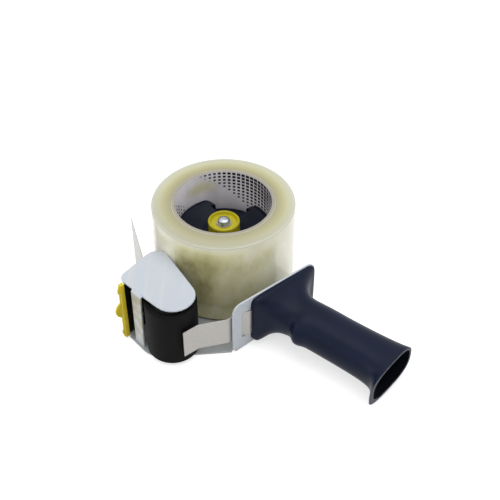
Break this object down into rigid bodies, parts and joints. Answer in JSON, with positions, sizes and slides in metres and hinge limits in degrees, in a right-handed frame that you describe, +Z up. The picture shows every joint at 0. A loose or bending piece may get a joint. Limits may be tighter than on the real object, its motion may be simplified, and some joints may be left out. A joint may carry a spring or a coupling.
{
  "type": "tape dispenser",
  "caption": "Hand-held packing-tape dispenser with steel side frame, pistol grip, rubber roller, tape hub with brake knob, serrated blade with guard, and wiper.",
  "frame": {"origin": "where the hub's axis meets the surface that the side plate lies on", "axes": "+X runs from the hub towards the open end of the handle, +Z is up along the axes of the hub and the roller, and -Y points from the hub to the cutting head"},
  "size_m": [0.2392, 0.167, 0.0781],
  "materials": {
    "frame_paint": "light blue-grey enamel on pressed steel sheet, satin gloss",
    "zinc_steel": "zinc-plated turned and stamped steel",
    "bright_steel": "bright nickel-plated fasteners",
    "spring_steel": "oiled spring wire",
    "tongue_steel": "warm grey spring steel strip",
    "blade_steel": "blackened carbon steel",
    "nylon": "natural nylon",
    "hub_plastic": "navy moulded plastic",
    "handle_plastic": "navy moulded plastic, fine satin texture",
    "knob_plastic": "yellow moulded plastic",
    "guard_plastic": "yellow moulded plastic",
    "roller_plastic": "dark grey moulded plastic",
    "roller_rubber": "smooth black rubber",
    "fibre": "vulcanised fibre",
    "core_paper": "printed paper tube with a dot pattern inside",
    "tape_film": "wound clear film with pale yellow adhesive",
    "wiper_film": "thin milky plastic sheet"
  },
  "bodies": {
    "root": {"frame": "frame_paint", "spindle_post": "zinc_steel", "bearing_washer": "nylon", "thrust_washer": "zinc_steel", "retaining_washer": "zinc_steel", "lock_washer": "zinc_steel", "retaining_screw": "bright_steel", "roller_axle": "zinc_steel", "axle_screw": "bright_steel", "blade": "blade_steel", "blade_screws": "bright_steel", "blade_nuts": "bright_steel", "wiper_root": "wiper_film", "wiper_clamp": "zinc_steel", "wiper_rivets": "bright_steel", "tongue_root": "tongue_steel", "handle": "handle_plastic", "handle_screws": "bright_steel"},
    "roller": {"roller_rubber": "roller_rubber", "roller_core": "roller_plastic", "roller_bushes": "nylon"},
    "hub_wheel": {"hub": "hub_plastic", "hub_bush": "nylon", "friction_washer": "fibre"},
    "roll": {"tape_core": "core_paper", "tape_roll": "tape_film"},
    "brake_cap": {"spring_cap": "zinc_steel", "tension_spring": "spring_steel"},
    "knob": {"adjusting_knob": "knob_plastic"},
    "guard": {"blade_guard": "guard_plastic"},
    "wiper": {"wiper_flap": "wiper_film"},
    "tongue": {"tongue_arm": "tongue_steel"}
  },
  "joints": [
    {"name": "hub_spin", "type": "hinge", "parent": "root", "child": "hub_wheel", "pos_m": [0, 0, 0.045], "axis": [0, 0, 1], "continuous": true},
    {"name": "roll_lift", "type": "slide", "parent": "hub_wheel", "child": "roll", "axis": [0, 0, 1], "range_m": [0, 0.09]},
    {"name": "roller_spin", "type": "hinge", "parent": "root", "child": "roller", "pos_m": [0.0386, -0.08147, 0.028], "axis": [0, 0, 1], "continuous": true},
    {"name": "cap_travel", "type": "slide", "parent": "root", "child": "brake_cap", "axis": [0, 0, -1], "range_m": [0, 0.00125], "deforming": ["tension_spring"]},
    {"name": "knob_turn", "type": "hinge", "parent": "brake_cap", "child": "knob", "pos_m": [0, 0, 0.05], "axis": [0, 0, -1], "range_deg": [0, 360]},
    {"name": "guard_pull", "type": "slide", "parent": "root", "child": "guard", "axis": [0, -1, 0], "range_m": [0, 0.014]},
    {"name": "wiper_flex", "type": "hinge", "parent": "root", "child": "wiper", "pos_m": [-0.00848, -0.07255, 0.028], "axis": [0, 0, 1], "range_deg": [-12, 25], "stiffness_Nm_per_rad": 0.02},
    {"name": "tongue_flex", "type": "hinge", "parent": "root", "child": "tongue", "pos_m": [0.0713, -0.047, 0.0245], "axis": [0, 0, 1], "range_deg": [-2, 7], "stiffness_Nm_per_rad": 0.5}
  ],
  "couplings": [
    {"joint": "knob_turn", "follows": "cap_travel", "rad_per_m": 5026.5}
  ]
}
